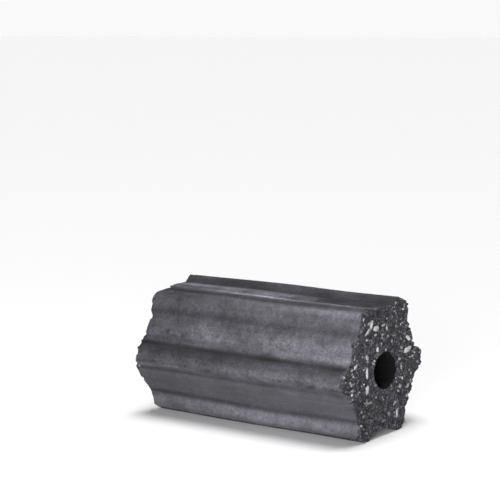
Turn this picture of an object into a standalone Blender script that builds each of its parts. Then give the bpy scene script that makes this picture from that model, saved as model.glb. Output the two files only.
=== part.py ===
"""Hexagonal charcoal briquette: one log of pressed charcoal crumb.

The paste is pushed through a die with six ribs and a mandrel, which leaves flat walls, a rib on
each corner of the hexagon and a round flue down the middle. The log is snapped to length, so both
ends are broken faces with crumbled rims. It is a single piece, and it lies along X on two ribs.
"""

from math import atan2, cos, degrees, exp, hypot, pi, radians, sin

import bmesh
import bpy

MM = 0.001

# Driving dimensions, in metres.
LENGTH = 84.5 * MM
CREST_RADIUS = 25.0 * MM
WALL_APOTHEM = 20.75 * MM
FLUE_RADIUS = 6.0 * MM
AXIS_HEIGHT = 22.25 * MM

# The section: six ribs, sixty degrees apart, the first one pointing along +Y. A rib has a crest
# and a foot, given as angles from its middle, and a wall is crowned a little between two feet.
RIBS = 6
PITCH = 360.0 / RIBS
CREST_HALF_ANGLE = 5.2
FOOT_HALF_ANGLE = 13.0
WALL_CROWN = 0.25 * MM
# How much each rib stands over or under its nominal crest, as the worn die left it.
RIB_ERRORS = [0.10 * MM, 0.30 * MM, -0.15 * MM, 0.15 * MM, 0.0, 0.08 * MM]

# The skin bows in and out a little along the log, and the bow turns with the way round it.
BOW = 0.15 * MM
BOW_LENGTH = 70.0 * MM
BOWS_ROUND = 2

# Each end is a break: a leaning plane, three crossing swells, a tongue that was left standing, and
# lumps of a few millimetres. A lean is the face's slope along Y and along Z. A swell is its height,
# its wavelength, and its heading and its phase in degrees. A tongue is its direction round the log,
# its distance from the axis, its half width and its height.
NEAR_LEAN = (0.045, -0.007)
NEAR_SWELLS = [
    (0.36 * MM, 33.0 * MM, 25.0, 40.0),
    (0.26 * MM, 17.0 * MM, 100.0, 200.0),
    (0.16 * MM, 10.5 * MM, 160.0, 310.0),
]
NEAR_TONGUE = (150.0, 14.0 * MM, 7.0 * MM, 0.5 * MM)
FAR_LEAN = (0.080, -0.020)
FAR_SWELLS = [
    (0.42 * MM, 28.0 * MM, 70.0, 150.0),
    (0.30 * MM, 15.0 * MM, 10.0, 20.0),
    (0.18 * MM, 9.5 * MM, 125.0, 250.0),
]
FAR_TONGUE = (207.0, 21.5 * MM, 7.0 * MM, 3.7 * MM)
LUMP_HEIGHT = 0.26 * MM
LUMP_WAVELENGTH = 6.4 * MM
LUMP_BEND = 1.5
LUMP_BEND_RATE = 0.5
NEAR_PHASE = 0.8
FAR_PHASE = 2.9

# The rim of a break is rounded off and has crumbled, and the face slopes back to it from
# CHIP_START where a chip has gone. A chip is its direction round the log and its half width, in
# degrees, and its depth.
RIM_ROUND = 0.35 * MM
RIM_CRUMBLE = 0.20 * MM
CRUMBLE_BITES = 17
CRUMBLE_CROWDS = 5
CRUMBLE_BEND = 2.0
CHIP_START = 16.0 * MM
NEAR_CHIPS = [
    (108.0, 4.0, 0.9 * MM),
    (193.0, 7.0, 0.6 * MM),
    (232.0, 6.0, 0.9 * MM),
    (307.0, 13.0, 1.2 * MM),
]
FAR_CHIPS = [
    (47.0, 7.0, 1.0 * MM),
    (112.0, 6.0, 1.5 * MM),
    (247.0, 7.0, 0.7 * MM),
    (318.0, 8.0, 1.1 * MM),
]

# Where the mesh has its points: angles from a rib's middle, shares of the way from the flue's
# edge to the rim, and shares of the way along the skin and along the flue.
COLUMN_ANGLES = [
    -23.0, -17.0, -13.0, -10.5, -8.5, -6.5, -4.8, -3.2, 0.0,
    3.2, 4.8, 6.5, 8.5, 10.5, 13.0, 17.0, 23.0, 30.0,
]
FACE_SHARES = [0.0, 0.09, 0.2, 0.32, 0.44, 0.56, 0.68, 0.79, 0.89, 0.97]
SKIN_SHARES = [0.0, 0.012, 0.05, 0.15, 0.3, 0.5, 0.7, 0.85, 0.95, 0.988, 1.0]
FLUE_SHARES = [0.0, 0.25, 0.5, 0.75, 1.0]

CHARCOAL = (0.105, 0.104, 0.114, 1.0)
DULL = 0.55
SHARP_EDGE = 35.0


def ease(share):
    """A smooth rise from 0 to 1 with level ends."""
    share = min(1.0, max(0.0, share))
    return share * share * (3.0 - 2.0 * share)


def section_radius(angle):
    """Distance from the axis to the skin, in a direction given in degrees round the log."""
    rib = round(angle / PITCH)
    off_rib = abs(angle - rib * PITCH)
    off_wall = PITCH / 2.0 - off_rib
    crown = WALL_CROWN * (1.0 - (off_wall / (PITCH / 2.0)) ** 2)
    wall = WALL_APOTHEM / cos(radians(off_wall)) + crown
    crest = CREST_RADIUS + RIB_ERRORS[rib % RIBS]
    rise = ease((FOOT_HALF_ANGLE - off_rib) / (FOOT_HALF_ANGLE - CREST_HALF_ANGLE))
    return wall + rise * (crest - wall)


def skin_radius(angle, x):
    """The section's radius with the bow that the skin has at this place along the log."""
    return section_radius(angle) + BOW * sin(2.0 * pi * x / BOW_LENGTH + BOWS_ROUND * radians(angle))


def lumps(y, z, phase):
    """Two crossing waves, each bent by the other, so that their lumps fall in no pattern."""
    across = 2.0 * pi * y / LUMP_WAVELENGTH + phase
    upward = 2.0 * pi * z / LUMP_WAVELENGTH - phase
    bent_across = across + LUMP_BEND * sin(LUMP_BEND_RATE * upward)
    bent_upward = upward + LUMP_BEND * sin(LUMP_BEND_RATE * across)
    return LUMP_HEIGHT * sin(bent_across) * sin(bent_upward)


class Break:
    """A broken end of the log, on its side +1 or -1 of the middle."""

    def __init__(self, side, lean, swells, tongue, chips, phase):
        self.side = side
        self.lean = lean
        self.swells = swells
        self.tongue = tongue
        self.chips = chips
        self.phase = phase

    def height(self, y, z):
        """How far the broken face stands out past the nominal end."""
        out = self.lean[0] * y + self.lean[1] * z
        for rise, wavelength, heading, phase in self.swells:
            along = y * cos(radians(heading)) + z * sin(radians(heading))
            out += rise * sin(2.0 * pi * along / wavelength + radians(phase))
        direction, distance, half_width, rise = self.tongue
        root_y, root_z = around(distance, direction)
        out += rise * exp(-((y - root_y) ** 2 + (z - root_z) ** 2) / half_width**2)
        return out + lumps(y, z, self.phase) - self.chipped(y, z)

    def chipped(self, y, z):
        """How far the chips set the face back, from CHIP_START out to the rim."""
        back = 0.0
        for direction, half_width, depth in self.chips:
            off = (degrees(atan2(z, y)) - direction + 180.0) % 360.0 - 180.0
            back += depth * exp(-((off / half_width) ** 2))
        return back * ease((hypot(y, z) - CHIP_START) / (CREST_RADIUS - CHIP_START))

    def crumbled(self, angle):
        """How far the rim itself has crumbled, in small bites that crowd together here and there."""
        turn = radians(angle)
        crowding = CRUMBLE_BEND * sin(CRUMBLE_CROWDS * turn + self.phase)
        return RIM_CRUMBLE * (1.0 + sin(CRUMBLE_BITES * turn + crowding))

    def face_x(self, y, z):
        """The broken face's place along the log, a rim's rounding past the nominal end."""
        return self.side * (LENGTH / 2.0 + RIM_ROUND + self.height(y, z))

    def rim_x(self, angle, y, z):
        """The rim's place along the log, under the face by its rounding and what has crumbled."""
        return self.face_x(y, z) - self.side * (RIM_ROUND + self.crumbled(angle))


def around(radius, angle):
    """The Y and Z of a point at a radius and direction from the axis."""
    return radius * cos(radians(angle)), radius * sin(radians(angle))


def rubbed(z):
    """The height of a point of the skin: the two ribs under the log are rubbed flat."""
    return max(z, -AXIS_HEIGHT)


def column_directions():
    """The directions of the mesh's columns, once round the log."""
    return [rib * PITCH + off for rib in range(RIBS) for off in COLUMN_ANGLES]


def face_ring(end, share):
    """Points on a broken face, a share of the way from the flue's rounded edge to the rim."""
    ring = []
    inner = FLUE_RADIUS + RIM_ROUND
    for angle in column_directions():
        outer = skin_radius(angle, end.side * LENGTH / 2.0) - RIM_ROUND
        y, z = around(inner + share * (outer - inner), angle)
        ring.append((end.face_x(y, z), y, rubbed(z)))
    return ring


def skin_ring(near, far, share):
    """Points on the skin, a share of the way from the near rim to the far rim."""
    ring = []
    for angle in column_directions():
        y, z = around(CREST_RADIUS, angle)
        x = (1.0 - share) * near.rim_x(angle, y, z) + share * far.rim_x(angle, y, z)
        y, z = around(skin_radius(angle, x), angle)
        ring.append((x, y, rubbed(z)))
    return ring


def flue_ring(near, far, share):
    """Points on the flue's wall, a share of the way from the far face's edge to the near one's."""
    ring = []
    for angle in column_directions():
        y, z = around(FLUE_RADIUS, angle)
        start = far.face_x(y, z) + RIM_ROUND
        end = near.face_x(y, z) - RIM_ROUND
        ring.append(((1.0 - share) * start + share * end, y, z))
    return ring


def middle(points, axis):
    """Half way between the lowest and the highest of the points on an axis."""
    reach = [point[axis] for point in points]
    return (min(reach) + max(reach)) / 2.0


def standing(rings):
    """The rings moved so that the log's box is centred over the origin and stands on Z = 0."""
    points = [point for ring in rings for point in ring]
    x_middle = middle(points, 0)
    y_middle = middle(points, 1)
    return [[(x - x_middle, y - y_middle, z + AXIS_HEIGHT) for x, y, z in ring] for ring in rings]


def charcoal():
    """Dull dark grey, with a trace of blue, and the slight sheen that the die's wall leaves."""
    material = bpy.data.materials.new("charcoal")
    material.use_nodes = True
    shader = material.node_tree.nodes["Principled BSDF"]
    shader.inputs["Base Color"].default_value = CHARCOAL
    shader.inputs["Roughness"].default_value = DULL
    shader.inputs["Metallic"].default_value = 0.0
    return material


def briquette():
    """The whole log: rings over the near face, along the skin, over the far face and back down
    the flue, each joined to the next, and the last one to the first."""
    near = Break(+1, NEAR_LEAN, NEAR_SWELLS, NEAR_TONGUE, NEAR_CHIPS, NEAR_PHASE)
    far = Break(-1, FAR_LEAN, FAR_SWELLS, FAR_TONGUE, FAR_CHIPS, FAR_PHASE)
    rings = [face_ring(near, share) for share in FACE_SHARES]
    rings += [skin_ring(near, far, share) for share in SKIN_SHARES]
    rings += [face_ring(far, share) for share in reversed(FACE_SHARES)]
    rings += [flue_ring(near, far, share) for share in FLUE_SHARES]
    bm = bmesh.new()
    loops = [[bm.verts.new(point) for point in ring] for ring in standing(rings)]
    columns = len(loops[0])
    for this, following in zip(loops, loops[1:] + loops[:1]):
        for i in range(columns):
            j = (i + 1) % columns
            bm.faces.new((this[i], this[j], following[j], following[i]))
    bmesh.ops.recalc_face_normals(bm, faces=bm.faces)
    mesh = bpy.data.meshes.new("briquette")
    bm.to_mesh(mesh)
    bm.free()
    mesh.shade_smooth()
    mesh.set_sharp_from_angle(angle=radians(SHARP_EDGE))
    mesh.materials.append(charcoal())
    log = bpy.data.objects.new("briquette", mesh)
    bpy.context.scene.collection.objects.link(log)


for leftover in list(bpy.data.objects):
    bpy.data.objects.remove(leftover)
briquette()
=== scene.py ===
from itertools import product
from math import cos, pi, radians, sin

import bpy
import numpy as np
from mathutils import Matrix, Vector


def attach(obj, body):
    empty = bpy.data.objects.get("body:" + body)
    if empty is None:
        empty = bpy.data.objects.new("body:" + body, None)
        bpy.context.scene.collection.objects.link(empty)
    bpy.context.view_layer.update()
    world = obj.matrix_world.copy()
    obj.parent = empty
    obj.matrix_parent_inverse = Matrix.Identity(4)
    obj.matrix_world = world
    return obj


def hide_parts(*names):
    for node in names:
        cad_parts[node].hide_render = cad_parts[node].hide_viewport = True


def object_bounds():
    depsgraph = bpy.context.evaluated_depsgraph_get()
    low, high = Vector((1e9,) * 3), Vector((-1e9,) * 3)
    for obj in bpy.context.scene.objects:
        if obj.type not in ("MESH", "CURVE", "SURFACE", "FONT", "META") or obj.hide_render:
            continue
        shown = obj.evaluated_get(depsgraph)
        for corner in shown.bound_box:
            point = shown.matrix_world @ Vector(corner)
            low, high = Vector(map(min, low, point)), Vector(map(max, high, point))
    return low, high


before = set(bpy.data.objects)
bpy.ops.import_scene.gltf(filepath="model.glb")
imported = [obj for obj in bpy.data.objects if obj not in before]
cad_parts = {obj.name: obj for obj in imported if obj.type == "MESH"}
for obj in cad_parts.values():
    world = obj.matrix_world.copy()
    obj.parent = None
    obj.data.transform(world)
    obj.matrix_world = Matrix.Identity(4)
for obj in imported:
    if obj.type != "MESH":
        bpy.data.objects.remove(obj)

CAD_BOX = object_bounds()
MM = 0.001

# The log
# One piece of pressed charcoal crumb. A die with six grooves and a mandrel left its ribbed skin and
# its flue, and it was snapped to length, so both ends are broken faces with crumbled rims. It stands
# for the solid, on the same formulas, and adds the crumb, the drag lines and the dents.

# Angles are in degrees, and a direction goes round the axis from +Y, so that 90 is straight up.
LENGTH = 84.5 * MM
CREST_RADIUS = 25.0 * MM
WALL_APOTHEM = 20.75 * MM
FLUE_RADIUS = 6.0 * MM
AXIS_HEIGHT = 22.25 * MM

RIBS = 6
PITCH = 360.0 / RIBS
CREST_HALF_ANGLE = 5.2
FOOT_HALF_ANGLE = 13.0
WALL_CROWN = 0.25 * MM
RIB_ERRORS = np.array([0.10, 0.30, -0.15, 0.15, 0.0, 0.08]) * MM
BOW = 0.15 * MM
BOW_LENGTH = 70.0 * MM
BOWS_ROUND = 2
# How high the skin's drag lines and ripples are. They are sunk into it, so that nothing stands past
# the solid's box.
DRAG_DEPTH = 0.045 * MM
FINE_DRAG_SHARE = 0.5
RIPPLE_DEPTH = 0.020 * MM
SKIN_SINK = (1.0 + FINE_DRAG_SHARE) * DRAG_DEPTH + RIPPLE_DEPTH
# Strips of the section that are worn or hollow along the whole log: the direction, the half width in
# degrees, and the depth. They are the upper edges of two ribs, and the wall that faces the floor.
WORN_STRIPS = [(113.6, 2.9, 1.6 * MM), (174.5, 3.5, 0.45 * MM), (268.0, 12.0, 1.2 * MM)]

# A break's lean is its slope along Y and along Z. A swell is its height, its wavelength, and its
# heading and its phase in degrees. A tongue is its direction round the log, its distance from the
# axis, its half width and its height. A chip is its direction, its half width in degrees, and its
# depth. The first tongue of an end is also the solid's, and the others are finer than it shows.
# The bites out of a rim are the size of what broke away, its share of the rim, its depth, how far
# from the rim it reaches, and how far the broken surface comes round on to the skin. A spall is a
# stretch of rim where the skin has come off further along the log: its direction, its half width in
# degrees, and its length.
NEAR = {
    "side": 1.0,
    "lean": (0.045, -0.007),
    "swells": [
        (0.36 * MM, 33.0 * MM, 25.0, 40.0),
        (0.26 * MM, 17.0 * MM, 100.0, 200.0),
        (0.16 * MM, 10.5 * MM, 160.0, 310.0),
    ],
    "tongues": [
        (150.0, 14.0 * MM, 7.0 * MM, 0.5 * MM),
        (58.0, 24.0 * MM, 3.0 * MM, 1.0 * MM),
        (132.0, 22.5 * MM, 4.8 * MM, 1.3 * MM),
        (229.0, 24.0 * MM, 2.4 * MM, 1.6 * MM),
    ],
    "chips": [
        (108.0, 4.0, 0.9 * MM),
        (193.0, 7.0, 0.6 * MM),
        (232.0, 6.0, 0.9 * MM),
        (245.0, 3.5, 0.8 * MM),
        (307.0, 13.0, 1.2 * MM),
    ],
    "bites": (1.7 * MM, 0.42, 0.50 * MM, 1.1 * MM, 0.4 * MM),
    "spalls": [
        (110.0, 4.5, 5.0 * MM),
        (92.0, 7.0, 1.5 * MM),
        (178.0, 5.0, 0.8 * MM),
        (240.0, 7.0, 1.2 * MM),
    ],
    "rings": 58,
    "phase": 0.8,
    "seed": 11,
}
FAR = {
    "side": -1.0,
    "lean": (0.080, -0.020),
    "swells": [
        (0.42 * MM, 28.0 * MM, 70.0, 150.0),
        (0.30 * MM, 15.0 * MM, 10.0, 20.0),
        (0.18 * MM, 9.5 * MM, 125.0, 250.0),
    ],
    "tongues": [
        (207.0, 21.5 * MM, 7.0 * MM, 3.7 * MM),
        (194.5, 22.0 * MM, 2.6 * MM, 1.6 * MM),
        (133.0, 22.5 * MM, 3.2 * MM, 1.0 * MM),
    ],
    "chips": [
        (47.0, 7.0, 1.0 * MM),
        (115.0, 8.0, 6.0 * MM),
        (247.0, 7.0, 0.7 * MM),
        (318.0, 8.0, 1.1 * MM),
    ],
    "bites": (2.3 * MM, 0.36, 0.50 * MM, 1.0 * MM, 0.0 * MM),
    "spalls": [],
    "rings": 34,
    "phase": 2.9,
    "seed": 23,
}
# The lumps of a break, the rounding of its rim, and how the rim crumbles: bites round the log, which
# crowd together in a few places.
LUMP_HEIGHT = 0.26 * MM
LUMP_WAVELENGTH = 6.4 * MM
LUMP_BEND = 1.5
LUMP_BEND_RATE = 0.5
RIM_ROUND = 0.35 * MM
RIM_CRUMBLE = 0.20 * MM
CRUMBLE_BITES = 17
CRUMBLE_CROWDS = 5
CRUMBLE_BEND = 2.0
CHIP_START = 16.0 * MM


def ease(share):
    """A smooth rise from 0 to 1 with level ends: three squares less two cubes of the share."""
    share = np.clip(share, 0.0, 1.0)
    return share * share * (3.0 - 2.0 * share)


def around(radius, angle):
    """The Y and Z of a point: radius times the cosine and the sine of its direction in degrees."""
    return radius * np.cos(np.radians(angle)), radius * np.sin(np.radians(angle))


def section_radius(angle):
    """Axis to skin in a direction: a flat wall with a slight crown, which eases up into the crest of
    the nearest rib between the rib's foot and its crest."""
    rib = np.round(angle / PITCH)
    off_rib = np.abs(angle - rib * PITCH)
    off_wall = PITCH / 2.0 - off_rib
    crown = WALL_CROWN * (1.0 - (off_wall / (PITCH / 2.0)) ** 2)
    wall = WALL_APOTHEM / np.cos(np.radians(off_wall)) + crown
    crest = CREST_RADIUS + RIB_ERRORS[rib.astype(int) % RIBS]
    rise = ease((FOOT_HALF_ANGLE - off_rib) / (FOOT_HALF_ANGLE - CREST_HALF_ANGLE))
    radius = wall + rise * (crest - wall)
    for direction, half_width, depth in WORN_STRIPS:
        radius = radius - depth * np.exp(-(((angle - direction) / half_width) ** 2))
    return radius


def skin_radius(angle, x):
    """The section's radius, plus a slow sine along the log whose phase turns with the direction, less
    the room for the relief."""
    bow = BOW * np.sin(2.0 * pi * x / BOW_LENGTH + BOWS_ROUND * np.radians(angle))
    return section_radius(angle) + bow - SKIN_SINK


def lumps(y, z, phase):
    """Two crossing sines, each bent by the other."""
    across = 2.0 * pi * y / LUMP_WAVELENGTH + phase
    upward = 2.0 * pi * z / LUMP_WAVELENGTH - phase
    bent_across = across + LUMP_BEND * np.sin(LUMP_BEND_RATE * upward)
    bent_upward = upward + LUMP_BEND * np.sin(LUMP_BEND_RATE * across)
    return LUMP_HEIGHT * np.sin(bent_across) * np.sin(bent_upward)


def chipped(end, y, z):
    """How far the chips set a break back: a bell round each chip's direction, easing in outwards."""
    back = np.zeros_like(y)
    for direction, half_width, depth in end["chips"]:
        off = (np.degrees(np.arctan2(z, y)) - direction + 180.0) % 360.0 - 180.0
        back += depth * np.exp(-((off / half_width) ** 2))
    return back * ease((np.hypot(y, z) - CHIP_START) / (CREST_RADIUS - CHIP_START))


def face_x(end, y, z):
    """A break's place along the log: the nominal end plus its lean, swells, tongues and lumps, less
    its chips."""
    out = end["lean"][0] * y + end["lean"][1] * z
    for rise, wavelength, heading, phase in end["swells"]:
        along = y * cos(radians(heading)) + z * sin(radians(heading))
        out = out + rise * np.sin(2.0 * pi * along / wavelength + radians(phase))
    for direction, distance, half_width, rise in end["tongues"]:
        root_y, root_z = around(distance, direction)
        out = out + rise * np.exp(-((y - root_y) ** 2 + (z - root_z) ** 2) / half_width**2)
    out = out + lumps(y, z, end["phase"]) - chipped(end, y, z)
    return end["side"] * (LENGTH / 2.0 + RIM_ROUND + out)


def crumbled(end, angle):
    """How far the rim has crumbled: a sine round the log, with its bites crowded here and there."""
    turn = np.radians(angle)
    crowding = CRUMBLE_BEND * np.sin(CRUMBLE_CROWDS * turn + end["phase"])
    return RIM_CRUMBLE * (1.0 + np.sin(CRUMBLE_BITES * turn + crowding))


# Large odd numbers that stir a scattered number's bits, and by how many bits the mix is shifted.
STIRRERS = np.array([0x9E3779B97F4A7C15, 0xC2B2AE3D27D4EB4F, 0x165667B19E3779F9], np.uint64)
SEED_STEP = 0x27D4EB2F
SHIFTS = (np.uint64(31), np.uint64(29), np.uint64(11))
FRACTION_BITS = 53
# What is added to a seed for each coordinate of a grain's centre, and a distance past any neighbour.
CENTRE_SEEDS = (1, 8, 15)
BEYOND = 9.0


def scattered(cells, seed):
    """A fixed number from 0 to 1 for each whole-number cell: each of the cell's numbers is mixed in
    bit by bit, and the mix is multiplied by a large odd number and stirred by a shift."""
    mixed = np.full(cells.shape[:-1], seed * SEED_STEP + 1, np.uint64)
    for axis in range(cells.shape[-1]):
        mixed = (mixed ^ cells[..., axis].astype(np.int64).astype(np.uint64)) * STIRRERS[axis]
        mixed ^= mixed >> SHIFTS[0]
    mixed *= STIRRERS[1]
    mixed ^= mixed >> SHIFTS[1]
    return (mixed >> SHIFTS[2]).astype(float) / 2.0**FRACTION_BITS


def cloud(points, seed):
    """Smooth noise from -1 to 1: each lattice corner has a scattered number, eased together over
    the corners of a point's cell."""
    base = np.floor(points)
    share = ease(points - base)
    total = np.zeros(points.shape[:-1])
    for corner in product((0, 1), repeat=points.shape[-1]):
        corner = np.array(corner)
        weight = np.prod(np.where(corner == 1, share, 1.0 - share), axis=-1)
        total += weight * scattered(base + corner, seed)
    return 2.0 * total - 1.0


def packed_grains(points, seed):
    """Cells of a lattice with one scattered centre each. Gives each point the distance to its
    nearest centre, how much further the next one is, and the nearest grain's own number."""
    base = np.floor(points)
    axes = points.shape[-1]
    nearest = np.full(points.shape[:-1], BEYOND)
    second = nearest.copy()
    number = np.zeros_like(nearest)
    for step in product((-1, 0, 1), repeat=axes):
        cell = base + np.array(step)
        centre = cell + np.stack([scattered(cell, seed + more) for more in CENTRE_SEEDS[:axes]], axis=-1)
        distance = np.linalg.norm(points - centre, axis=-1)
        closer = distance < nearest
        second = np.where(closer, nearest, np.minimum(second, distance))
        number = np.where(closer, scattered(cell, seed), number)
        nearest = np.where(closer, distance, nearest)
    return nearest, second - nearest, number


# The crumb of a break, coarse to fine: the size of its grains, how far one stands over another, and
# how deep the crack between two is.
CRUMB = [
    (2.3 * MM, 0.16 * MM, 0.05 * MM),
    (1.15 * MM, 0.20 * MM, 0.10 * MM),
    (0.7 * MM, 0.10 * MM, 0.06 * MM),
]
CRACK_WIDTH = 0.12 * MM
# How far a grain's outline strays, as a share of its size, and how many strays there are to a grain.
GRAIN_STRAY = 0.25
STRAY_RATE = 1.7
# Some of the middle grains are lost: which size of the three, their share, and how deep a pit is.
LOST_SIZE = 1
LOST_GRAINS = 0.07
LOST_DEPTH = 0.45 * MM
# The crumb is cut into the break, so that nothing stands past the solid's box.
CRUMB_SINK = 0.40 * MM
CRUMB_SEED_STEP = 40
BITE_SEED = 61
# A bite's edge eases in over a share of a grain, and its middle is so many times its depth.
BITE_EDGE = 0.35
BITE_MIDDLE = 1.2
# How far the broken surface comes round a rim: a share of a spall's length, and so many times a
# bite's depth. Then how long the strays of its edge are, and over what width it ends.
SPALL_BREAK = 0.7
BITE_BREAK = 1.5
BREAK_STRAY = 0.6 * MM
BREAK_END = 0.4 * MM


def crumb_relief(end, y, z):
    """How far the crumb of a break stands over its face: for each size of grain a step that differs
    from grain to grain, less a crack between grains, and a pit where a grain has gone."""
    out = np.full_like(y, -CRUMB_SINK)
    for k, (size, step, crack) in enumerate(CRUMB):
        places = np.stack([y, z], axis=-1) / size
        wide = cloud(places * STRAY_RATE, seed=5 + k)
        high = cloud(places * STRAY_RATE, seed=9 + k)
        places = places + GRAIN_STRAY * np.stack([wide, high], axis=-1)
        _, gap, number = packed_grains(places, end["seed"] + CRUMB_SEED_STEP * k)
        out += step * (number - 0.5) - crack * np.exp(-gap * size / CRACK_WIDTH)
        if k == LOST_SIZE:
            out -= LOST_DEPTH * (number < LOST_GRAINS) * ease(gap * size / (2.0 * CRACK_WIDTH))
    return out


def bitten(end, points, from_rim):
    """How much is gone from a rim at a point, and how broken the surface is there: scattered grains
    of the rim are missing, fading away from it, and a stray band of skin round it is gone. Both
    reach further where the rim has spalled, in a bell round each spall's direction."""
    size, missing, depth, reach, band = end["bites"]
    nearest, gap, number = packed_grains(points / size, end["seed"] + BITE_SEED)
    angle = np.degrees(np.arctan2(points[..., 2], points[..., 1]))
    spalled = np.zeros_like(from_rim)
    for direction, half_width, length in end["spalls"]:
        off = (angle - direction + 180.0) % 360.0 - 180.0
        spalled += length * np.exp(-((off / half_width) ** 2))
    gone = np.where(number < missing, ease(gap / BITE_EDGE) * (BITE_MIDDLE - nearest), 0.0)
    gone = depth * gone * np.exp(-((from_rim / (reach + spalled)) ** 2))
    stray = 1.0 + cloud(points / BREAK_STRAY, seed=71)
    edge = (band + SPALL_BREAK * spalled) * stray + BITE_BREAK * gone
    return gone, ease((edge - from_rim) / BREAK_END)


# The skin's relief: lines that the die dragged along it, ripples where the paste stuck and slipped,
# and dents, each with its place along the log, its direction, its half length, half width and depth.
DRAG_LENGTH = 22.0 * MM
DRAG_WIDTH = 1.1 * MM
FINE_DRAG_RATE = 2.3
RIPPLE_LENGTH = 1.6 * MM
RIPPLE_WIDTH = 4.5 * MM
DENTS = [
    (-29.6 * MM, 128.0, 0.7 * MM, 0.6 * MM, 0.22 * MM),
    (-7.5 * MM, 161.0, 0.9 * MM, 0.6 * MM, 0.25 * MM),
    (-31.6 * MM, 158.5, 0.8 * MM, 1.2 * MM, 0.22 * MM),
    (-28.4 * MM, 161.0, 1.6 * MM, 0.6 * MM, 0.22 * MM),
    (-25.0 * MM, 160.5, 0.9 * MM, 0.7 * MM, 0.20 * MM),
]
# Stray dents lie anywhere: how many, how far from the middle as a share of the log's length, and the
# least and the most half length, half width and depth in millimetres.
STRAY_DENTS = 46
STRAY_REACH = 0.47
STRAY_LENGTHS = (0.25, 0.9)
STRAY_WIDTHS = (0.25, 0.6)
STRAY_DEPTHS = (0.05, 0.16)
DENT_STEEPNESS = 1.5


def dent_depth(x, angle):
    """The sum of the dents at a place on the skin, each an oval bell with steep sides."""
    rng = np.random.default_rng(5)
    stray = np.stack([
        rng.uniform(-STRAY_REACH * LENGTH, STRAY_REACH * LENGTH, STRAY_DENTS),
        rng.uniform(0.0, 360.0, STRAY_DENTS),
        rng.uniform(*STRAY_LENGTHS, STRAY_DENTS) * MM,
        rng.uniform(*STRAY_WIDTHS, STRAY_DENTS) * MM,
        rng.uniform(*STRAY_DEPTHS, STRAY_DENTS) * MM,
    ], axis=-1)
    depth = np.zeros_like(x)
    for place, direction, half_length, half_width, deepest in [*DENTS, *stray]:
        off = radians(1.0) * ((angle - direction + 180.0) % 360.0 - 180.0) * WALL_APOTHEM
        distance = ((x - place) / half_length) ** 2 + (off / half_width) ** 2
        depth += deepest * np.exp(-(distance**DENT_STEEPNESS))
    return depth


def skin_relief(x, angle):
    """How far the skin stands over its section: long drag lines, short ripples, less its dents."""
    y, z = around(CREST_RADIUS, angle)
    drag_scale = np.array([DRAG_LENGTH, DRAG_WIDTH, DRAG_WIDTH])
    ripple_scale = np.array([RIPPLE_LENGTH, RIPPLE_WIDTH, RIPPLE_WIDTH])
    places = np.stack([x, y, z], axis=-1)
    drags = cloud(places / drag_scale, seed=31)
    drags = drags + FINE_DRAG_SHARE * cloud(FINE_DRAG_RATE * places / drag_scale, seed=32)
    ripples = cloud(places / ripple_scale, seed=33)
    return DRAG_DEPTH * drags + RIPPLE_DEPTH * ripples - dent_depth(x, angle)


# The mesh: points round the log, rings round a rim, and rings along the skin, which crowd towards its
# ends. A flue step is how far a ring of the flue's wall is from the nearer break.
COLUMNS = 384
ROUNDING_RINGS = 3
SKIN_RINGS = 116
SKIN_CROWDING = 0.62
FLUE_STEPS = np.array([0.12, 0.3, 0.7, 1.5, 3.0, 6.0, 12.0, 21.0, 32.0]) * MM
# The crumb calms down to a share of its height at a break's edges, over this part of the way across.
CALM_CRUMB = 0.35
CALM_AT_RIM = 0.04
CALM_AT_FLUE = 0.06
# How far a bite goes in along the log, as a share of how far it goes towards the axis.
BITE_LEAN = 0.8


def face_grid(end, shares, angle):
    """Rings over a break from the flue's edge to the rim, at shares of the way: the face with its
    crumb, calmer at both edges. Gives the points, and how far each one is from the rim."""
    inner = FLUE_RADIUS + RIM_ROUND
    outer = skin_radius(angle, end["side"] * LENGTH / 2.0) - RIM_ROUND
    radius = inner + shares * (outer - inner)
    y, z = around(radius, angle)
    calm = ease((1.0 - shares) / CALM_AT_RIM) * ease(shares / CALM_AT_FLUE)
    crumb = crumb_relief(end, y, z) * (CALM_CRUMB + (1.0 - CALM_CRUMB) * calm)
    x = face_x(end, y, z) + end["side"] * crumb
    return np.stack([x, y, z], axis=-1), outer + RIM_ROUND - radius


def rim_grid(end, turns, angle):
    """Rings round a rim: a quarter of an oval from the break to the skin, with the rim's crumbling
    blended in towards the skin."""
    skin = skin_radius(angle, end["side"] * LENGTH / 2.0)
    radius = skin - RIM_ROUND * (1.0 - np.sin(turns))
    y, z = around(radius, angle)
    crest_y, crest_z = around(CREST_RADIUS, angle)
    flush = face_x(end, y, z) + CALM_CRUMB * end["side"] * crumb_relief(end, y, z) * np.cos(turns)
    edge = face_x(end, crest_y, crest_z) - end["side"] * (RIM_ROUND + crumbled(end, angle))
    blend = 1.0 - np.cos(turns)
    return np.stack([(1.0 - blend) * flush + blend * edge, y, z], axis=-1), np.zeros_like(radius)


def skin_grid(shares, angle):
    """Rings along the skin from the near rim to the far one, at shares of the way, at the skin's
    radius plus its relief."""
    crest_y, crest_z = around(CREST_RADIUS, angle)
    near = face_x(NEAR, crest_y, crest_z) - (RIM_ROUND + crumbled(NEAR, angle))
    far = face_x(FAR, crest_y, crest_z) + (RIM_ROUND + crumbled(FAR, angle))
    x = (1.0 - shares) * near + shares * far
    angle = np.broadcast_to(angle, x.shape)
    y, z = around(skin_radius(angle, x) + skin_relief(x, angle), angle)
    return np.stack([x, y, z], axis=-1), np.minimum(near - x, x - far)


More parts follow.
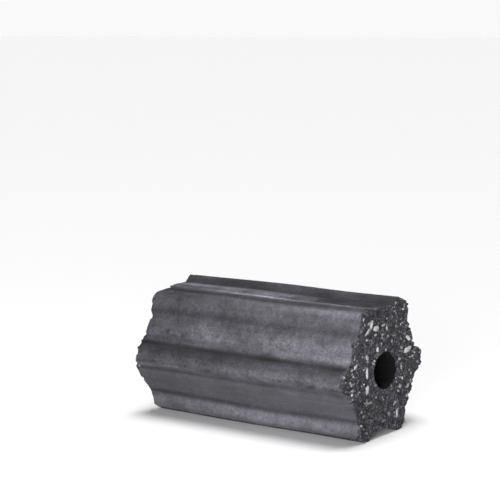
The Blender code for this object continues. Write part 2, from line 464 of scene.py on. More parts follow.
def flue_grid(angle):
    """Rings along the flue's wall from the far break to the near one: its radius plus the drag
    lines, flared a little at both edges. The rim counts as a metre off, so nothing is bitten out."""
    edge_y, edge_z = around(FLUE_RADIUS + RIM_ROUND, angle)
    steps = FLUE_STEPS[:, None]
    near_half = face_x(NEAR, edge_y, edge_z) - steps[::-1]
    x = np.concatenate([face_x(FAR, edge_y, edge_z) + steps, near_half])
    from_edge = np.concatenate([steps, steps[::-1]])
    angle = np.broadcast_to(angle, x.shape)
    y, z = around(np.full_like(x, CREST_RADIUS), angle)
    drags = cloud(np.stack([x / DRAG_LENGTH, y / DRAG_WIDTH, z / DRAG_WIDTH], axis=-1), seed=35)
    flare = RIM_ROUND * (1.0 - ease(from_edge / (2.0 * RIM_ROUND)))
    y, z = around(FLUE_RADIUS + flare + DRAG_DEPTH * drags, angle)
    return np.stack([x, y, z], axis=-1), np.full_like(x, 1.0)


def crowded(count, power):
    """Shares from 0 to 1, both left out, that crowd towards both ends: steps are even from the
    middle outwards, and what is then left of each half is raised to one over the power."""
    even = np.linspace(-1.0, 1.0, count + 2)[1:-1]
    return (0.5 + 0.5 * np.sign(even) * (1.0 - (1.0 - np.abs(even)) ** (1.0 / power)))[:, None]


def closed_mesh(name, rings):
    """A mesh over a closed ring of rings: quads between neighbours, the last ring joined to the
    first and the last column to the first."""
    count, columns = rings.shape[:2]
    index = np.arange(count * columns).reshape(count, columns)
    right = np.roll(index, -1, axis=1)
    quads = np.stack([index, np.roll(index, -1, axis=0), np.roll(right, -1, axis=0), right], axis=-1)
    mesh = bpy.data.meshes.new(name)
    mesh.from_pydata(rings.reshape(-1, 3).tolist(), [], quads.reshape(-1, 4).tolist())
    mesh.shade_smooth()
    log = bpy.data.objects.new(name, mesh)
    bpy.context.scene.collection.objects.link(log)
    return log


def point_attribute(piece, name, values):
    """Keeps a number for each vertex, for the material to read."""
    attribute = piece.data.attributes.new(name, "FLOAT", "POINT")
    attribute.data.foreach_set("value", np.asarray(values, np.float32).ravel())


# Bands along the log of painted shade and painted highlight: darker where shade falls in the grooves and
# along the bottom, lighter where the faces catch the light and its sheen. The direction, the half width in
# degrees, and the share of the skin's grey at the far end, half way and at the near end.
PAINTED_LIGHT_BANDS = [
    (71.5, 6.0, 0.36, 0.32, 0.32),
    (84.0, 7.0, 2.50, 2.40, 0.41),
    (96.0, 7.0, 1.10, 1.64, 0.65),
    (101.6, 3.0, 2.00, 4.80, 2.40),
    (110.5, 1.3, 1.38, 1.95, 1.58),
    (115.5, 3.0, 0.60, 0.66, 0.70),
    (120.3, 1.8, 0.38, 0.47, 0.60),
    (124.8, 3.0, 0.72, 1.23, 1.95),
    (132.0, 3.0, 1.10, 1.10, 1.22),
    (134.0, 14.0, 0.82, 0.80, 0.86),
    (138.6, 3.4, 0.68, 0.75, 0.75),
    (146.0, 5.0, 0.92, 0.92, 0.97),
    (155.5, 8.5, 1.22, 1.46, 1.65),
    (164.0, 2.5, 0.76, 1.00, 1.30),
    (170.0, 2.8, 0.19, 0.24, 0.19),
    (175.0, 6.0, 0.46, 0.57, 0.74),
    (181.5, 2.6, 0.86, 1.32, 1.41),
    (185.2, 2.2, 0.62, 0.69, 0.66),
    (194.0, 2.0, 0.42, 0.45, 0.66),
    (207.0, 17.0, 0.74, 0.83, 0.92),
    (223.0, 2.8, 0.55, 0.55, 0.63),
    (230.0, 3.4, 1.78, 2.12, 1.66),
    (237.0, 2.4, 2.20, 2.10, 1.80),
    (242.5, 4.5, 0.26, 0.30, 0.20),
    (256.0, 5.0, 1.15, 1.10, 1.20),
    (271.0, 9.0, 1.10, 0.90, 1.00),
    (287.0, 3.0, 0.70, 0.75, 0.70),
    (299.0, 5.0, 1.20, 1.10, 1.30),
    (314.0, 3.0, 0.72, 0.70, 0.75),
    (330.0, 9.0, 1.15, 1.25, 1.10),
    (346.0, 3.0, 0.68, 0.72, 0.70),
    (0.0, 5.0, 1.15, 1.25, 1.10),
    (14.0, 3.0, 0.70, 0.70, 0.75),
    (30.0, 9.0, 1.20, 1.30, 1.15),
    (46.0, 3.0, 0.72, 0.68, 0.70),
]
BAND_REACH = 24.0 * MM
# A band comes and goes along the log, over this length and by this share of its strength, and
# wanders to either side by some degrees, with a new spell after so many degrees round the log.
BAND_SPELL = 13.0 * MM
BAND_FADE = 0.30
BAND_WANDER = 0.6
BAND_TURN = 20.0
# How far apart the fades of two neighbouring bands are, so that they don't come and go together.
FADE_STEP = 3.7
# The skin is darker in the dents too: how much of the grey a deep one takes away, and how deep that is.
DENT_DARKENING = 0.45
DEEP_DENT = 0.20 * MM
# Where the skin is more or less mottled: the direction, the half width in degrees, and by how much.
MOTTLING = [
    (96.0, 10.0, 1.20),
    (154.0, 13.0, 0.25),
    (180.0, 5.0, 0.30),
    (186.0, 2.5, 0.70),
    (208.0, 14.0, -0.60),
]


def painted_light_share(x, angle):
    """The share of its grey that the skin has at a place, which paints its light and shade: the product over
    the bands of one plus a bell across the band, whose height eases along the log from end to end and fades
    here and there, times a darkening in the deep dents."""
    wander = cloud(np.stack([x / BAND_SPELL, angle / BAND_TURN], axis=-1), seed=41)
    wandered = angle + BAND_WANDER * wander
    share = np.ones_like(x)
    for k, (direction, half_width, far, middle, near) in enumerate(PAINTED_LIGHT_BANDS):
        height = middle + (far - middle) * ease(-x / BAND_REACH)
        height = height + (near - middle) * ease(x / BAND_REACH)
        spell = np.stack([x / BAND_SPELL, np.full_like(x, FADE_STEP * k)], axis=-1)
        fade = 1.0 + BAND_FADE * cloud(spell, seed=43)
        off = (wandered - direction + 180.0) % 360.0 - 180.0
        share *= 1.0 + (height - 1.0) * fade * np.exp(-((off / half_width) ** 2))
    return share * (1.0 - DENT_DARKENING * np.clip(dent_depth(x, angle) / DEEP_DENT, 0.0, 1.0))


def mottled_share(angle):
    """How strongly the skin is mottled in a direction: one, plus a bell for each place where it is
    more or less so."""
    bells = [
        more * np.exp(-(((angle - direction) / half_width) ** 2)) for direction, half_width, more in MOTTLING
    ]
    return 1.0 + sum(bells)


def build_log():
    """The whole log: near break outwards, near rim, skin, far rim, far break inwards, flue. It is
    worked out round its own axis, then shifted to the solid's place, and the shift is kept."""
    angle = (np.arange(COLUMNS) * 360.0 / COLUMNS)[None, :]
    near_shares = np.linspace(0.0, 1.0, NEAR["rings"], endpoint=False)[:, None]
    far_shares = np.linspace(0.0, 1.0, FAR["rings"], endpoint=False)[:, None]
    turns = np.linspace(0.0, pi / 2.0, ROUNDING_RINGS)[:, None]
    strips = [
        (face_grid(NEAR, near_shares, angle), 1.0),
        (rim_grid(NEAR, turns, angle), 1.0),
        (skin_grid(1.0 - crowded(SKIN_RINGS, SKIN_CROWDING)[::-1], angle), 0.0),
        (rim_grid(FAR, turns[::-1], angle), 1.0),
        (face_grid(FAR, far_shares[::-1], angle), 1.0),
        (flue_grid(angle), 0.0),
    ]
    places = np.concatenate([grid for (grid, _), _ in strips])
    from_rim = np.concatenate([np.broadcast_to(edge, grid.shape[:2]) for (grid, edge), _ in strips])
    broken = np.concatenate([np.full(grid.shape[:2], share) for (grid, _), share in strips])
    outward = places * np.array([0.0, 1.0, 1.0])
    outward /= np.linalg.norm(outward, axis=-1, keepdims=True)
    outward = outward + np.sign(places[..., :1]) * np.array([BITE_LEAN, 0.0, 0.0])
    near_gone, near_broken = bitten(NEAR, places, from_rim)
    far_gone, far_broken = bitten(FAR, places, from_rim)
    is_near = places[..., 0] > 0.0
    broken = np.maximum(broken, np.where(is_near, near_broken, far_broken))
    places = places - np.where(is_near, near_gone, far_gone)[..., None] * outward
    in_flue = np.zeros(broken.shape)
    in_flue[-2 * len(FLUE_STEPS):] = 1.0
    places[..., 2] = np.maximum(places[..., 2], -AXIS_HEIGHT)
    low, high = (np.array(corner) for corner in CAD_BOX)
    reach = places.reshape(-1, 3)
    shift = (low + high) / 2.0 - (reach.min(axis=0) + reach.max(axis=0)) / 2.0
    shift[2] = AXIS_HEIGHT
    log = closed_mesh("briquette_log", places + shift)
    point_attribute(log, "broken", broken)
    point_attribute(log, "in_flue", in_flue)
    angle = np.broadcast_to(angle, broken.shape)
    # The share holds the skin's painted shade and painted highlight.
    point_attribute(log, "share", painted_light_share(places[..., 0], angle))
    point_attribute(log, "mottle", mottled_share(angle))
    return log, shift


def shader_node(tree, kind, inputs=(), **settings):
    """Adds a shader node, sets its properties, and sets or links its inputs."""
    node = tree.nodes.new(kind)
    for name, value in settings.items():
        setattr(node, name, value)
    for socket, value in inputs:
        if isinstance(value, bpy.types.NodeSocket):
            tree.links.new(value, node.inputs[socket])
        else:
            node.inputs[socket].default_value = value
    return node


def maths(tree, operation, first, second, third=None):
    """The output of a maths node on two or three numbers or outputs."""
    inputs = [(0, first), (1, second)] + ([(2, third)] if third is not None else [])
    return shader_node(tree, "ShaderNodeMath", inputs, operation=operation).outputs[0]


# Between these values lies nearly all of a noise.
NOISE_SPAN = (0.3, 0.7)


def noise_between(tree, vector, scale, low, high, detail=3.0, roughness=0.55):
    """A noise on a vector, spread from low to high."""
    noise = shader_node(
        tree,
        "ShaderNodeTexNoise",
        [("Vector", vector), ("Scale", scale), ("Detail", detail), ("Roughness", roughness)],
    )
    spread = [
        ("Value", noise.outputs["Fac"]),
        ("From Min", NOISE_SPAN[0]),
        ("From Max", NOISE_SPAN[1]),
        ("To Min", low),
        ("To Max", high),
    ]
    return shader_node(tree, "ShaderNodeMapRange", spread).outputs["Result"]


def ramp(tree, factor, stops):
    """A colour ramp with grey stops, each a place and a linear grey."""
    node = shader_node(tree, "ShaderNodeValToRGB", [("Fac", factor)])
    while len(node.color_ramp.elements) < len(stops):
        node.color_ramp.elements.new(0.5)
    for element, (place, grey) in zip(node.color_ramp.elements, stops):
        element.position = place
        element.color = (grey, grey, grey, 1.0)
    return node.outputs["Color"]


def tinted(tree, grey, tint):
    """A grey times a tint."""
    inputs = [(0, grey), (1, tint)]
    return shader_node(tree, "ShaderNodeVectorMath", inputs, operation="MULTIPLY").outputs["Vector"]


# The skin's grey, tint and gloss, the share of the grey that the flue keeps, which paints the shade down the
# flue, and the tint and the roughness of the broken crumb.
SKIN_GREY = 0.0725
SKIN_TINT = (0.99, 0.97, 1.12)
SKIN_GLOSS = 0.25
FLUE_SHADE_SHARE = 0.03
BROKEN_TINT = (1.0, 0.962, 1.145)
BROKEN_DULLNESS = 0.8
# What mottles the skin: how many patches there are to a metre, and the least and the most share of
# the grey that they leave.
CLOUDS = (85.0, 0.70, 1.30)
BLOTCHES = (420.0, 0.74, 1.26)
GRIT = (1500.0, 0.78, 1.22)
DRAG_LINES = (900.0, 0.90, 1.10)
DRAG_STRETCH = (0.04, 1.0, 1.0)
# The skin's dull and glossy patches: how many to a metre, and their least and most roughness.
DULL_PATCHES = (260.0, 0.52, 0.66)
# The bumps of the skin and of the crumb: how many to a metre, and their lowest and highest place in
# millimetres.
SKIN_BUMPS = (1500.0, -0.012, 0.012)
CRUMB_BUMPS = (2600.0, -0.10, 0.10)
# The crumb's coarse and fine grains of colour: how many to a metre, then the greys of the coarse ones
# and the shares of them that the fine ones give, each at its place from the darkest to the lightest.
COARSE_CRUMB = 1000.0
FINE_CRUMB = 2300.0
CRUMB_GREYS = [(0.0, 0.020), (0.45, 0.044), (0.85, 0.066), (0.95, 0.098), (1.0, 0.14)]
CRUMB_SHARES = [(0.0, 0.60), (0.55, 1.0), (0.90, 1.3), (0.96, 2.0), (1.0, 3.4)]


def point_number(tree, name):
    """The number that a point attribute holds."""
    return shader_node(tree, "ShaderNodeAttribute", attribute_name=name).outputs["Fac"]


def grain_number(tree, vector, scale, channel):
    """One number for each grain of a cell pattern."""
    cells = shader_node(tree, "ShaderNodeTexVoronoi", [("Vector", vector), ("Scale", scale)])
    return shader_node(tree, "ShaderNodeSeparateColor", [(0, cells.outputs["Color"])]).outputs[channel]


def either(tree, share, first, second):
    """The first number, and the second where a share is 1."""
    inputs = [("Value", share), ("To Min", first), ("To Max", second)]
    return shader_node(tree, "ShaderNodeMapRange", inputs).outputs["Result"]


def charcoal_material():
    """Smooth dragged skin, and where it is broken the dark crumb with its lighter grains."""
    material = bpy.data.materials.new("pressed_charcoal")
    material.use_nodes = True
    tree = material.node_tree
    shader = tree.nodes["Principled BSDF"]
    place = shader_node(tree, "ShaderNodeTexCoord").outputs["Object"]
    broken = point_number(tree, "broken")
    in_flue = point_number(tree, "in_flue")

    stretched = shader_node(tree, "ShaderNodeMapping", [("Vector", place), ("Scale", DRAG_STRETCH)])
    clouds = noise_between(tree, place, *CLOUDS, detail=4.0)
    blotches = noise_between(tree, place, *BLOTCHES, detail=4.0, roughness=0.7)
    grit = noise_between(tree, place, *GRIT, detail=2.0)
    lines = noise_between(tree, stretched.outputs["Vector"], *DRAG_LINES)
    uneven = maths(tree, "MULTIPLY", maths(tree, "MULTIPLY", clouds, blotches), grit)
    uneven = maths(tree, "SUBTRACT", uneven, 1.0)
    uneven = maths(tree, "MULTIPLY_ADD", uneven, point_number(tree, "mottle"), 1.0)
    skin = maths(tree, "MULTIPLY", uneven, lines)
    # Painted shade: the flue keeps only a small share of the skin's grey, dark as the shade down the hole.
    shade = maths(tree, "MULTIPLY_ADD", in_flue, FLUE_SHADE_SHARE - 1.0, 1.0)
    skin = maths(tree, "MULTIPLY", skin, maths(tree, "MULTIPLY", shade, SKIN_GREY))
    # Paints the skin's light and shade: painted shade in the grooves and along the bottom, painted highlight
    # and sheen on the faces that catch the light, and darker dents.
    skin = maths(tree, "MULTIPLY", skin, point_number(tree, "share"))

    greys = ramp(tree, grain_number(tree, place, COARSE_CRUMB, channel=0), CRUMB_GREYS)
    shares = ramp(tree, grain_number(tree, place, FINE_CRUMB, channel=1), CRUMB_SHARES)
    crumb = tinted(tree, tinted(tree, greys, shares), BROKEN_TINT)
    mix = [(0, broken), (6, tinted(tree, skin, SKIN_TINT)), (7, crumb)]
    colour = shader_node(tree, "ShaderNodeMix", mix, data_type="RGBA")
    tree.links.new(colour.outputs[2], shader.inputs["Base Color"])

    dull = maths(tree, "MAXIMUM", noise_between(tree, place, *DULL_PATCHES), in_flue)
    tree.links.new(either(tree, broken, dull, BROKEN_DULLNESS), shader.inputs["Roughness"])
    shader.inputs["Specular IOR Level"].default_value = SKIN_GLOSS

    skin_bumps = noise_between(tree, place, *SKIN_BUMPS, detail=4.0)
    crumb_bumps = noise_between(tree, place, *CRUMB_BUMPS, detail=4.0)
    height = either(tree, broken, skin_bumps, crumb_bumps)
    bump = shader_node(tree, "ShaderNodeBump", [("Height", height), ("Distance", MM)])
    tree.links.new(bump.outputs["Normal"], shader.inputs["Normal"])
    return material


log, LOG_SHIFT = build_log()
log.data.materials.append(charcoal_material())
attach(log, "root")
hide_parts("briquette")

# Grains and flakes of the breaks
# What stands in the crumb where the log snapped: dark grains of char, and light flakes of ash and
# shell that the crumb was pressed with. Each one is sunk a part of its thickness into the break.

GRAINS_ON_AN_END = 1300
GRAIN_SIZES = (0.35 * MM, 0.95 * MM)
GRAIN_SHAPES = (0.6, 1.2)
FLAKES_ON_AN_END = 250
FLAKE_SIZES = (0.35 * MM, 1.25 * MM)
# A flake's length, width and thickness are its size times a share between these.
FLAKE_SHAPES = [(0.9, 1.6), (0.6, 1.0), (0.35, 0.6)]
# A large flake's thickness is this share of its width.
LARGE_FLAKE_THICKNESS = 0.32
# Most flakes are small and dark: the powers that an even spread of sizes and lightness is raised to.
SMALL_POWER = 1.6
DARK_POWER = 1.4
LEAST_LIGHTNESS = 0.05
# The gap that the lumps keep to the edges of a break, and to the rim of the far one.
EDGE_MARGIN = 0.5 * MM
FAR_MARGIN = 1.5 * MM
# Places that are tried for each lump, because some fall into the flue or past the rim.
TRIES_FOR_EACH = 6
# The flakes low on a break are darker: how light they are, up to where, and over what height it ends.
LOW_SHARE = 0.45
LOW_PLACE = -14.0 * MM
LOW_BLEND = 11.0 * MM
# A lump is a ball with this many meridians, and with a ring of corners at each of these rises.
SMALL_LUMP = (6, (28.0, -28.0))
LARGE_LUMP = (11, (48.0, 14.0, -20.0))
# A lump's corners lie at a share of its half size between these, and it rests on the crumb under its
# middle and this share of its length to either side.
LUMP_JITTER = (0.76, 1.12)
RESTS_AT = 0.35
# A seat is how far the lumps tilt, in degrees, and the share of their thickness that is sunk.
GRAIN_SEAT = (20.0, 0.62)
FLAKE_SEAT = (9.0, 0.35)
LARGE_SEAT = (4.0, 0.25)
# The greys of char and of ash, each at its lightness, their tints and their roughness.
CHAR_GREYS = [(0.0, 0.012), (0.7, 0.05), (1.0, 0.11)]
CHAR_TINT = (1.0, 0.99, 1.05)
CHAR_DULLNESS = 0.6
ASH_GREYS = [(0.0, 0.09), (0.6, 0.26), (0.8, 0.40), (1.0, 0.62)]
ASH_TINT = (1.0, 0.99, 1.04)
ASH_DULLNESS = 0.5
LUMP_CLOUDS = (1800.0, 0.70, 1.30)
# The largest flakes of the near break: place across and up from the axis, length, width, heading in
# degrees, and how light each is, from 0 to 1. Lengths are in millimetres.
LARGE_FLAKES = [
    (-9.1, 16.7, 3.4, 1.8, 65.0, 0.95),
    (-11.9, 14.8, 4.4, 1.1, 25.0, 0.85),
    (-6.2, 15.0, 3.0, 1.9, 0.0, 0.80),
    (-6.2, 12.9, 2.6, 0.9, 0.0, 0.75),
    (-13.5, 18.9, 1.6, 1.4, 0.0, 0.80),
    (-1.6, 15.4, 2.5, 0.8, 5.0, 0.70),
    (0.2, 14.1, 2.0, 0.9, -65.0, 0.70),
    (-2.4, 12.4, 1.8, 0.8, 0.0, 0.50),
    (-4.9, 7.8, 1.9, 1.7, 70.0, 0.95),
    (-12.0, 12.2, 2.2, 0.9, 5.0, 0.75),
    (4.6, 9.1, 1.6, 1.2, 0.0, 0.60),
    (16.7, 8.0, 3.6, 1.5, -35.0, 0.95),
    (15.6, 4.2, 5.6, 2.2, 8.0, 0.85),
    (11.7, 5.6, 1.8, 1.2, 0.0, 0.60),
    (-17.9, 6.8, 1.6, 1.0, 0.0, 0.60),
    (-17.1, 4.2, 3.0, 1.6, 20.0, 0.80),
    (-19.3, 3.5, 2.0, 1.2, 10.0, 0.60),
    (-24.0, 2.0, 1.0, 0.9, 0.0, 0.80),
    (-12.0, 6.5, 1.7, 1.1, 85.0, 0.75),
    (-10.6, 5.6, 2.0, 0.9, 80.0, 0.55),
    (-9.8, 0.8, 4.0, 1.3, 88.0, 0.90),
    (-9.9, -4.9, 3.6, 1.9, 85.0, 0.80),
    (-6.9, 3.6, 1.3, 0.8, 0.0, 0.55),
    (-19.4, -1.4, 1.6, 1.4, 0.0, 0.65),
    (-18.6, -3.4, 3.0, 1.0, -10.0, 0.55),
    (-19.1, -6.1, 2.0, 0.9, 0.0, 0.60),
    (-8.6, -9.2, 2.6, 0.8, 5.0, 0.50),
    (8.1, -16.0, 3.4, 1.7, 88.0, 0.75),
    (9.6, -7.1, 1.9, 1.7, 0.0, 0.60),
    (10.4, -0.6, 2.2, 1.2, 88.0, 0.60),
    (15.0, -7.9, 1.8, 1.3, 30.0, 0.60),
    (14.8, -11.4, 1.9, 1.4, 0.0, 0.60),
    (7.6, -12.4, 1.8, 1.3, 0.0, 0.55),
    (3.6, -15.4, 2.0, 1.2, 0.0, 0.45),
    (18.6, 1.6, 2.4, 1.0, 0.0, 0.60),
    (22.0, -1.1, 1.5, 1.0, 0.0, 0.50),
    (-13.6, -11.4, 1.4, 1.0, 0.0, 0.50),
    (-13.1, -16.1, 2.4, 1.0, -20.0, 0.80),
    (1.0, 17.2, 1.6, 0.8, 0.0, 0.50),
    (8.0, 21.2, 1.4, 1.0, 50.0, 0.60),
    (7.2, 18.6, 1.5, 0.8, 0.0, 0.45),
]


def lump_shape(meridians, rises):
    """A ball: a pole, a ring of corners at each rise in degrees, and the other pole. Gives its
    corners, and its faces as triangles that point outwards."""
    turn = np.arange(meridians) * 2.0 * pi / meridians
    rings = [
        np.stack([cos(rise) * np.cos(turn), cos(rise) * np.sin(turn), np.full_like(turn, sin(rise))], axis=-1)
        for rise in np.radians(rises)
    ]
    corners = np.concatenate([[(0.0, 0.0, 1.0)], *rings, [(0.0, 0.0, -1.0)]])
    first = 1 + np.arange(meridians)
    last = first + meridians * (len(rises) - 1)
    triangles = [(np.zeros_like(first), first, np.roll(first, -1))]
    for step in range(len(rises) - 1):
        upper = first + meridians * step
        lower = upper + meridians
        triangles += [(upper, lower, np.roll(lower, -1)), (upper, np.roll(lower, -1), np.roll(upper, -1))]
    triangles.append((last, np.full_like(first, len(corners) - 1), np.roll(last, -1)))
    return corners, np.concatenate([np.stack(triangle, axis=-1) for triangle in triangles])


def scattered_places(end, count, margin, rng):
    """Places across a break, evenly scattered between the flue's edge and the rim."""
    tries = rng.uniform(-CREST_RADIUS, CREST_RADIUS, (TRIES_FOR_EACH * count, 2))
    radius = np.hypot(tries[:, 0], tries[:, 1])
    angle = np.degrees(np.arctan2(tries[:, 1], tries[:, 0])) % 360.0
    reach = skin_radius(angle, end["side"] * LENGTH / 2.0) - margin
    inside = (radius > FLUE_RADIUS + EDGE_MARGIN) & (radius < reach)
    return tries[inside][:count]


def lumps_on_break(name, end, kind, across, sizes, heading, seat, rng):
    """A mesh of one lump at each place: a jittered ball, stretched to its length, width and
    thickness, tilted, turned to its heading in the break's plane, and sunk by a share of its
    thickness into the highest of the crumb under its middle and its ends."""
    corners, faces = lump_shape(*kind)
    tilt, sunk = seat
    count = len(across)
    jitter = rng.uniform(*LUMP_JITTER, (count, len(corners), 1))
    shape = corners * jitter * sizes[:, None, :] / 2.0
    lean = np.radians(rng.normal(0.0, tilt, (count, 2)))
    shape[..., 2] += shape[..., 0] * np.tan(lean[:, :1]) + shape[..., 1] * np.tan(lean[:, 1:])
    cosine, sine = np.cos(heading)[:, None], np.sin(heading)[:, None]
    y = shape[..., 0] * cosine - shape[..., 1] * sine + across[:, :1]
    z = shape[..., 0] * sine + shape[..., 1] * cosine + across[:, 1:]
    along = RESTS_AT * sizes[:, 0] * np.stack([-np.ones(count), np.zeros(count), np.ones(count)])
    under_y = across[:, 0] + along * np.cos(heading)
    under_z = across[:, 1] + along * np.sin(heading)
    ground = end["side"] * face_x(end, under_y, under_z) + crumb_relief(end, under_y, under_z)
    rise = shape[..., 2] + ((0.5 - sunk) * sizes[:, 2] + ground.max(axis=0))[:, None]
    x = end["side"] * rise
    low, high = (np.array(corner) for corner in CAD_BOX)
    places = np.clip(np.stack([x, y, z], axis=-1).reshape(-1, 3) + LOG_SHIFT, low, high)
    if end["side"] < 0.0:
        faces = faces[:, ::-1]
    index = (faces[None] + len(corners) * np.arange(count)[:, None, None]).reshape(-1, 3)
    mesh = bpy.data.meshes.new(name)
    mesh.from_pydata(places.tolist(), [], index.tolist())
    piece = bpy.data.objects.new(name, mesh)
    bpy.context.scene.collection.objects.link(piece)
    return piece


def grain_material(name, stops, tint, roughness):
    """One grey for each lump, from its own lightness, with a faint cloud over it."""
    material = bpy.data.materials.new(name)
    material.use_nodes = True
    tree = material.node_tree
    shader = tree.nodes["Principled BSDF"]
    place = shader_node(tree, "ShaderNodeTexCoord").outputs["Object"]
    grey = ramp(tree, point_number(tree, "lightness"), stops)
    mottled = tinted(tree, grey, noise_between(tree, place, *LUMP_CLOUDS))
    tree.links.new(tinted(tree, mottled, tint), shader.inputs["Base Color"])
    shader.inputs["Roughness"].default_value = roughness
    return material


def finish_lumps(piece, lightness, material):
    """Gives each lump its lightness, and the piece its material and its place on the part."""
    corners = len(piece.data.vertices) // len(lightness)
    point_attribute(piece, "lightness", np.repeat(lightness, corners))
    piece.data.materials.append(material)
    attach(piece, "root")


def add_grains(name, end, margin, material, rng):
    """Dark grains of char scattered over a break."""
    across = scattered_places(end, GRAINS_ON_AN_END, margin, rng)
    count = len(across)
    size = rng.uniform(*GRAIN_SIZES, count)
    sizes = size[:, None] * rng.uniform(*GRAIN_SHAPES, (count, 3))
    heading = rng.uniform(0.0, pi, count)
    piece = lumps_on_break(name, end, SMALL_LUMP, across, sizes, heading, GRAIN_SEAT, rng)
    finish_lumps(piece, rng.uniform(0.0, 1.0, count), material)


def add_flakes(name, end, margin, material, rng):
    """Small light flakes scattered over a break, most of them very small."""
    across = scattered_places(end, FLAKES_ON_AN_END, margin, rng)
    count = len(across)
    small, large = FLAKE_SIZES
    size = small + (large - small) * rng.uniform(0.0, 1.0, count) ** SMALL_POWER
    sizes = size[:, None] * np.stack([rng.uniform(*shares, count) for shares in FLAKE_SHAPES], axis=-1)
    heading = rng.uniform(0.0, pi, count)
    piece = lumps_on_break(name, end, SMALL_LUMP, across, sizes, heading, FLAKE_SEAT, rng)
    lightness = rng.uniform(LEAST_LIGHTNESS, 1.0, count) ** DARK_POWER
    lightness *= LOW_SHARE + (1.0 - LOW_SHARE) * ease((across[:, 1] - LOW_PLACE) / LOW_BLEND)
    finish_lumps(piece, lightness, material)


def add_large_flakes(name, end, table, material, rng):
    """Flat flakes at their own places, each with its own size, heading and lightness."""
    table = np.array(table)
    sizes = MM * np.stack([table[:, 2], table[:, 3], LARGE_FLAKE_THICKNESS * table[:, 3]], axis=-1)
    heading = np.radians(table[:, 4])
    piece = lumps_on_break(name, end, LARGE_LUMP, table[:, :2] * MM, sizes, heading, LARGE_SEAT, rng)
    piece.data.shade_smooth()
    finish_lumps(piece, table[:, 5], material)


char = grain_material("char_grain", CHAR_GREYS, CHAR_TINT, CHAR_DULLNESS)
ash = grain_material("ash_flake", ASH_GREYS, ASH_TINT, ASH_DULLNESS)
add_grains("near_break_grains", NEAR, EDGE_MARGIN, char, np.random.default_rng(101))
add_grains("far_break_grains", FAR, FAR_MARGIN, char, np.random.default_rng(102))
add_flakes("near_break_flakes", NEAR, EDGE_MARGIN, ash, np.random.default_rng(103))
add_flakes("far_break_flakes", FAR, FAR_MARGIN, ash, np.random.default_rng(104))
add_large_flakes("near_break_large_flakes", NEAR, LARGE_FLAKES, ash, np.random.default_rng(105))

# The floor
# A broad sheet of plain white studio paper, with a faint glow of its own, which runs on to the white
# walls far behind the log.

FLOOR_HALF_SIDE = 20.0
FLOOR_GREY = 0.90
FLOOR_GLOW = 0.03
FLOOR_DULLNESS = 0.9
FLOOR_GLOSS = 0.1


def add_floor():
    """A square at Z = 0 with a matte near-white material."""
    mesh = bpy.data.meshes.new("floor")
    side = FLOOR_HALF_SIDE
    corners = [(-side, -side, 0.0), (side, -side, 0.0), (side, side, 0.0), (-side, side, 0.0)]
    mesh.from_pydata(corners, [], [(0, 1, 2, 3)])
    paper = bpy.data.materials.new("paper")
    paper.use_nodes = True
    shader = paper.node_tree.nodes["Principled BSDF"]
    shader.inputs["Base Color"].default_value = (FLOOR_GREY, FLOOR_GREY, FLOOR_GREY, 1.0)
    shader.inputs["Emission Color"].default_value = (1.0, 1.0, 1.0, 1.0)
    shader.inputs["Emission Strength"].default_value = FLOOR_GLOW
    shader.inputs["Roughness"].default_value = FLOOR_DULLNESS
    shader.inputs["Specular IOR Level"].default_value = FLOOR_GLOSS
    mesh.materials.append(paper)
    floor = bpy.data.objects.new("floor", mesh)
    bpy.context.scene.collection.objects.link(floor)


add_floor()

# The light
# Plain soft studio light: a strong broad lamp over the log and a weaker one behind it to the right, a
# small low soft box beside the camera, and a dim room with white walls low down round the floor.

# The lamps face the flue's mouth at the near break.
LAMP_AIM = Vector((0.042, 0.0, AXIS_HEIGHT))
# A broad lamp is its azimuth and elevation from the log, and its strength.
BROAD_LAMPS = {
    "over": (0.0, 86.0, 2.45),
    "behind_right": (155.0, 68.0, 0.60),
}
BROAD_LAMP_WIDTH = radians(32.0)
BROAD_LAMP_DISTANCE = 2.0
# The soft box is its azimuth and elevation, its distance, its side and its power.
SOFT_BOX = (18.0, 4.5, 0.55, 0.32, 4.4)
ROOM_LIGHT = 0.06
WALL_LIGHT = 0.95
# How high the white wall stands over the floor's edge, as the sine of an elevation.
WALL_TOP = (0.05, 0.10)


def direction_of(azimuth, elevation):
    """A unit vector from the log, with azimuth 0 along -Y and 90 along +X."""
    a, e = radians(azimuth), radians(elevation)
    return Vector((sin(a) * cos(e), -cos(a) * cos(e), sin(e)))


def add_light(name, light, away, distance):
    """Places a light at a distance from the log, facing it."""
    lamp = bpy.data.objects.new(name, light)
    lamp.location = LAMP_AIM + distance * away
    lamp.rotation_mode = "QUATERNION"
    lamp.rotation_quaternion = away.to_track_quat("Z", "Y")
    bpy.context.scene.collection.objects.link(lamp)


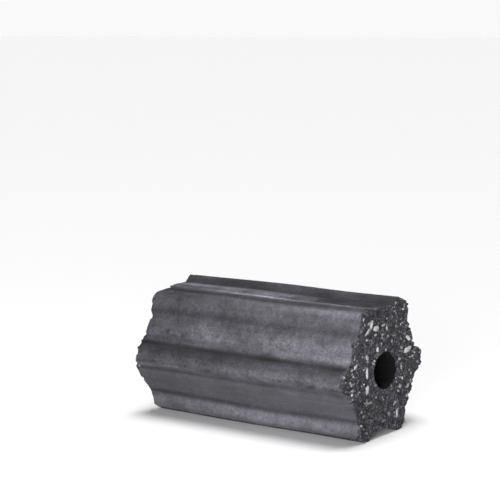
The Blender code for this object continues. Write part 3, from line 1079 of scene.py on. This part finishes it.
def add_lamps():
    """Adds the broad lamps and the soft box."""
    for name, (azimuth, elevation, strength) in BROAD_LAMPS.items():
        light = bpy.data.lights.new(name, "SUN")
        light.angle = BROAD_LAMP_WIDTH
        light.energy = strength
        add_light(name, light, direction_of(azimuth, elevation), BROAD_LAMP_DISTANCE)
    azimuth, elevation, distance, side, power = SOFT_BOX
    light = bpy.data.lights.new("soft_box", "AREA")
    light.shape = "SQUARE"
    light.size = side
    light.energy = power
    add_light("soft_box", light, direction_of(azimuth, elevation), distance)


def add_room():
    """A dim even room, with a white band from the floor's edge up to the wall's top."""
    world = bpy.data.worlds.new("room")
    world.use_nodes = True
    tree = world.node_tree
    heading = shader_node(tree, "ShaderNodeTexCoord").outputs["Generated"]
    rise = shader_node(tree, "ShaderNodeSeparateXYZ", [(0, heading)]).outputs["Z"]
    band = [
        ("Value", rise),
        ("From Min", WALL_TOP[0]),
        ("From Max", WALL_TOP[1]),
        ("To Min", WALL_LIGHT),
        ("To Max", ROOM_LIGHT),
    ]
    strength = shader_node(tree, "ShaderNodeMapRange", band)
    tree.links.new(strength.outputs["Result"], tree.nodes["Background"].inputs["Strength"])
    tree.nodes["Background"].inputs["Color"].default_value = (1.0, 1.0, 1.0, 1.0)
    bpy.context.scene.world = world


add_room()
add_lamps()
bpy.context.scene.view_settings.view_transform = "Standard"

# The camera
# A long lens, a little over the log and to the right of its side, where the photograph was taken.

CAMERA_AZIMUTH = 33.5
CAMERA_ELEVATION = 8.4
CAMERA_DISTANCE = 0.5165
# The log lies low in the view, so the camera looks at a point over it.
CAMERA_AIM = Vector((-0.0097, 0.0, 0.0356 + AXIS_HEIGHT))
SENSOR = 36.0
FOCAL_SHARE = 3.0
CLIPPING = (0.01, 100.0)


def add_camera():
    """Looks from its place straight at its aim, with the focal length as a share of the frame."""
    lens = bpy.data.cameras.new("camera")
    lens.sensor_width = SENSOR
    lens.lens = SENSOR * FOCAL_SHARE
    lens.clip_start, lens.clip_end = CLIPPING
    camera = bpy.data.objects.new("camera", lens)
    away = direction_of(CAMERA_AZIMUTH, CAMERA_ELEVATION)
    camera.location = CAMERA_AIM + CAMERA_DISTANCE * away
    camera.rotation_mode = "QUATERNION"
    camera.rotation_quaternion = away.to_track_quat("Z", "Y")
    bpy.context.scene.collection.objects.link(camera)
    bpy.context.scene.camera = camera


add_camera()
